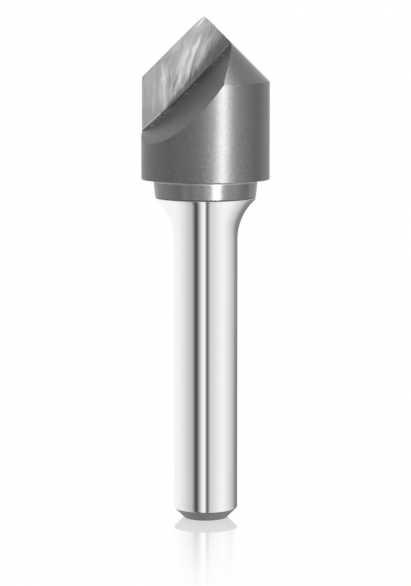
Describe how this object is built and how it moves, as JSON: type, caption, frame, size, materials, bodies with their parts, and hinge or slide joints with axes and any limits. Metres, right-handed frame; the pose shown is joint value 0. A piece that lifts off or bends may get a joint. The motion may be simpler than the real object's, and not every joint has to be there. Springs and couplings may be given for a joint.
{
  "type": "countersink bit",
  "caption": "Single-flute ninety-degree countersink bit with a ground carbide head brazed to a flared, polished round shank.",
  "frame": {"origin": "centre of the shank's lower end face, on the turning axis", "axes": "+Z along the turning axis, from the shank's end to the point; the rake face looks towards -Y with the cutting edge on its -X side"},
  "size_m": [0.0126, 0.0126, 0.0499],
  "materials": {
    "carbide": "fine ground, satin",
    "solder": "dull",
    "steel": "polished"
  },
  "bodies": {
    "root": {"cutting_head": "carbide", "braze_joint": "solder", "shank": "steel"}
  },
  "joints": []
}
